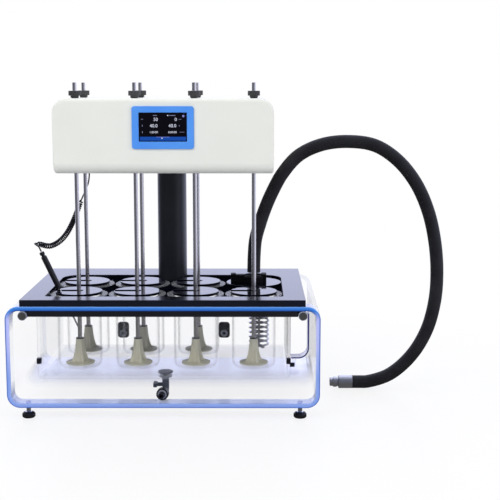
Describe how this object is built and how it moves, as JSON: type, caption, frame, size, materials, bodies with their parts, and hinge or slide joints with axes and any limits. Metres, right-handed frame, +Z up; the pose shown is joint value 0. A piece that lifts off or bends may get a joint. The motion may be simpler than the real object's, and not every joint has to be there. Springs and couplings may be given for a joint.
{
  "type": "stirred-vessel bath tester",
  "caption": "Bench tester with a white drive head on a black column, steel shafts turning plastic agitators in clear vessels, and a clear water bath on a blue-edged acrylic hoop stand.",
  "frame": {"origin": "middle of the stand's footprint, on the surface it stands on", "axes": "+X to the right seen from the screen side, +Y to the rear, +Z up"},
  "size_m": [1.014, 0.44, 0.76],
  "materials": {
    "acrylic": "clear, polished, blue at the cut edges",
    "black_metal": "satin powder coat",
    "black_plastic": "satin moulded",
    "black_plate": "satin",
    "blue_frame": "satin",
    "cord": "satin",
    "cream_plastic": "moulded, matt",
    "dark_steel": "turned",
    "grey_plastic": "moulded",
    "rubber": "matt",
    "screen_glass": "gloss",
    "steel": "ground and polished",
    "vessel_glass": "clear, polished",
    "white_casing": "fine textured powder coat"
  },
  "bodies": {
    "root": {"stand_hoop": "acrylic", "water_bath": "acrylic", "under_frame": "black_plastic", "frame_cap_left": "dark_steel", "frame_cap_right": "dark_steel", "side_bracket": "acrylic", "bath_clamp_left": "black_plastic", "bath_clamp_right": "black_plastic", "vessel_plate": "black_plate", "vessel_1": "vessel_glass", "vessel_2": "vessel_glass", "vessel_3": "vessel_glass", "vessel_4": "vessel_glass", "vessel_5": "vessel_glass", "vessel_6": "vessel_glass", "vessel_7": "vessel_glass", "column": "black_metal", "drain_body": "grey_plastic", "bath_port_left": "black_plastic", "bath_port_right": "black_plastic", "cooling_coil": "steel", "coil_holder": "black_plastic", "coolant_hose": "rubber", "hose_coupling": "dark_steel"},
    "head": {"head_cover": "white_casing", "head_base": "white_casing", "lift_tube": "steel", "screen_bezel": "blue_frame", "screen": "screen_glass", "drive_motor": "black_metal", "drive_belt": "rubber", "temperature_probe": "cord", "probe_cord": "cord"},
    "motor_drive": {"motor_pulley": "dark_steel"},
    "drain_handle": {"drain_lever": "grey_plastic"},
    "stirrer_1": {"shaft_1": "steel", "agitator_1": "cream_plastic"},
    "lid_1": {"cover_1": "black_plate"},
    "stirrer_2": {"shaft_2": "steel", "agitator_2": "cream_plastic"},
    "lid_2": {"cover_2": "black_plate"},
    "stirrer_3": {"shaft_3": "steel", "agitator_3": "cream_plastic"},
    "lid_3": {"cover_3": "black_plate"},
    "stirrer_4": {"shaft_4": "steel", "agitator_4": "cream_plastic"},
    "lid_4": {"cover_4": "black_plate"},
    "stirrer_5": {"shaft_5": "steel", "agitator_5": "cream_plastic"},
    "lid_5": {"cover_5": "black_plate"},
    "stirrer_6": {"shaft_6": "steel", "agitator_6": "cream_plastic"},
    "lid_6": {"cover_6": "black_plate"},
    "stirrer_7": {"shaft_7": "steel", "agitator_7": "cream_plastic"},
    "lid_7": {"cover_7": "black_plate"},
    "levelling_foot_1": {"foot_1": "rubber"},
    "levelling_foot_2": {"foot_2": "rubber"},
    "levelling_foot_3": {"foot_3": "rubber"},
    "levelling_foot_4": {"foot_4": "rubber"}
  },
  "joints": [
    {"name": "head_lift", "type": "slide", "parent": "root", "child": "head", "axis": [0, 0, 1], "range_m": [0, 0.095]},
    {"name": "stirrer_1_spin", "type": "hinge", "parent": "head", "child": "stirrer_1", "pos_m": [-0.20475, -0.101, 0.395], "axis": [0, 0, 1], "continuous": true},
    {"name": "stirrer_2_spin", "type": "hinge", "parent": "head", "child": "stirrer_2", "pos_m": [-0.06825, -0.101, 0.395], "axis": [0, 0, 1], "continuous": true},
    {"name": "stirrer_3_spin", "type": "hinge", "parent": "head", "child": "stirrer_3", "pos_m": [0.06825, -0.101, 0.395], "axis": [0, 0, 1], "continuous": true},
    {"name": "stirrer_4_spin", "type": "hinge", "parent": "head", "child": "stirrer_4", "pos_m": [0.20475, -0.101, 0.395], "axis": [0, 0, 1], "continuous": true},
    {"name": "stirrer_5_spin", "type": "hinge", "parent": "head", "child": "stirrer_5", "pos_m": [-0.20475, 0.0355, 0.395], "axis": [0, 0, 1], "continuous": true},
    {"name": "stirrer_6_spin", "type": "hinge", "parent": "head", "child": "stirrer_6", "pos_m": [-0.06825, 0.0355, 0.395], "axis": [0, 0, 1], "continuous": true},
    {"name": "stirrer_7_spin", "type": "hinge", "parent": "head", "child": "stirrer_7", "pos_m": [0.06825, 0.0355, 0.395], "axis": [0, 0, 1], "continuous": true},
    {"name": "motor_spin", "type": "hinge", "parent": "head", "child": "motor_drive", "pos_m": [0.21275, 0.0435, 0.641], "axis": [0, 0, 1], "continuous": true},
    {"name": "lid_1_lift", "type": "slide", "parent": "root", "child": "lid_1", "axis": [0, 0, 1], "range_m": [0, 0.05]},
    {"name": "lid_2_lift", "type": "slide", "parent": "root", "child": "lid_2", "axis": [0, 0, 1], "range_m": [0, 0.05]},
    {"name": "lid_3_lift", "type": "slide", "parent": "root", "child": "lid_3", "axis": [0, 0, 1], "range_m": [0, 0.05]},
    {"name": "lid_4_lift", "type": "slide", "parent": "root", "child": "lid_4", "axis": [0, 0, 1], "range_m": [0, 0.05]},
    {"name": "lid_5_lift", "type": "slide", "parent": "root", "child": "lid_5", "axis": [0, 0, 1], "range_m": [0, 0.05]},
    {"name": "lid_6_lift", "type": "slide", "parent": "root", "child": "lid_6", "axis": [0, 0, 1], "range_m": [0, 0.05]},
    {"name": "lid_7_lift", "type": "slide", "parent": "root", "child": "lid_7", "axis": [0, 0, 1], "range_m": [0, 0.05]},
    {"name": "drain_turn", "type": "hinge", "parent": "root", "child": "drain_handle", "pos_m": [-0.02, -0.15, 0.065], "axis": [1, 0, 0], "range_deg": [0, 90]},
    {"name": "foot_1_turn", "type": "hinge", "parent": "root", "child": "levelling_foot_1", "pos_m": [-0.311, -0.197, 0.02], "axis": [0, 0, 1], "range_deg": [-180, 180]},
    {"name": "foot_2_turn", "type": "hinge", "parent": "root", "child": "levelling_foot_2", "pos_m": [0.311, -0.197, 0.02], "axis": [0, 0, 1], "range_deg": [-180, 180]},
    {"name": "foot_3_turn", "type": "hinge", "parent": "root", "child": "levelling_foot_3", "pos_m": [-0.311, 0.197, 0.02], "axis": [0, 0, 1], "range_deg": [-180, 180]},
    {"name": "foot_4_turn", "type": "hinge", "parent": "root", "child": "levelling_foot_4", "pos_m": [0.311, 0.197, 0.02], "axis": [0, 0, 1], "range_deg": [-180, 180]}
  ],
  "couplings": [
    {"joint": "stirrer_2_spin", "follows": "stirrer_1_spin", "ratio": 1},
    {"joint": "stirrer_3_spin", "follows": "stirrer_1_spin", "ratio": 1},
    {"joint": "stirrer_4_spin", "follows": "stirrer_1_spin", "ratio": 1},
    {"joint": "stirrer_5_spin", "follows": "stirrer_1_spin", "ratio": 1},
    {"joint": "stirrer_6_spin", "follows": "stirrer_1_spin", "ratio": 1},
    {"joint": "stirrer_7_spin", "follows": "stirrer_1_spin", "ratio": 1},
    {"joint": "motor_spin", "follows": "stirrer_1_spin", "ratio": 1.6667}
  ]
}
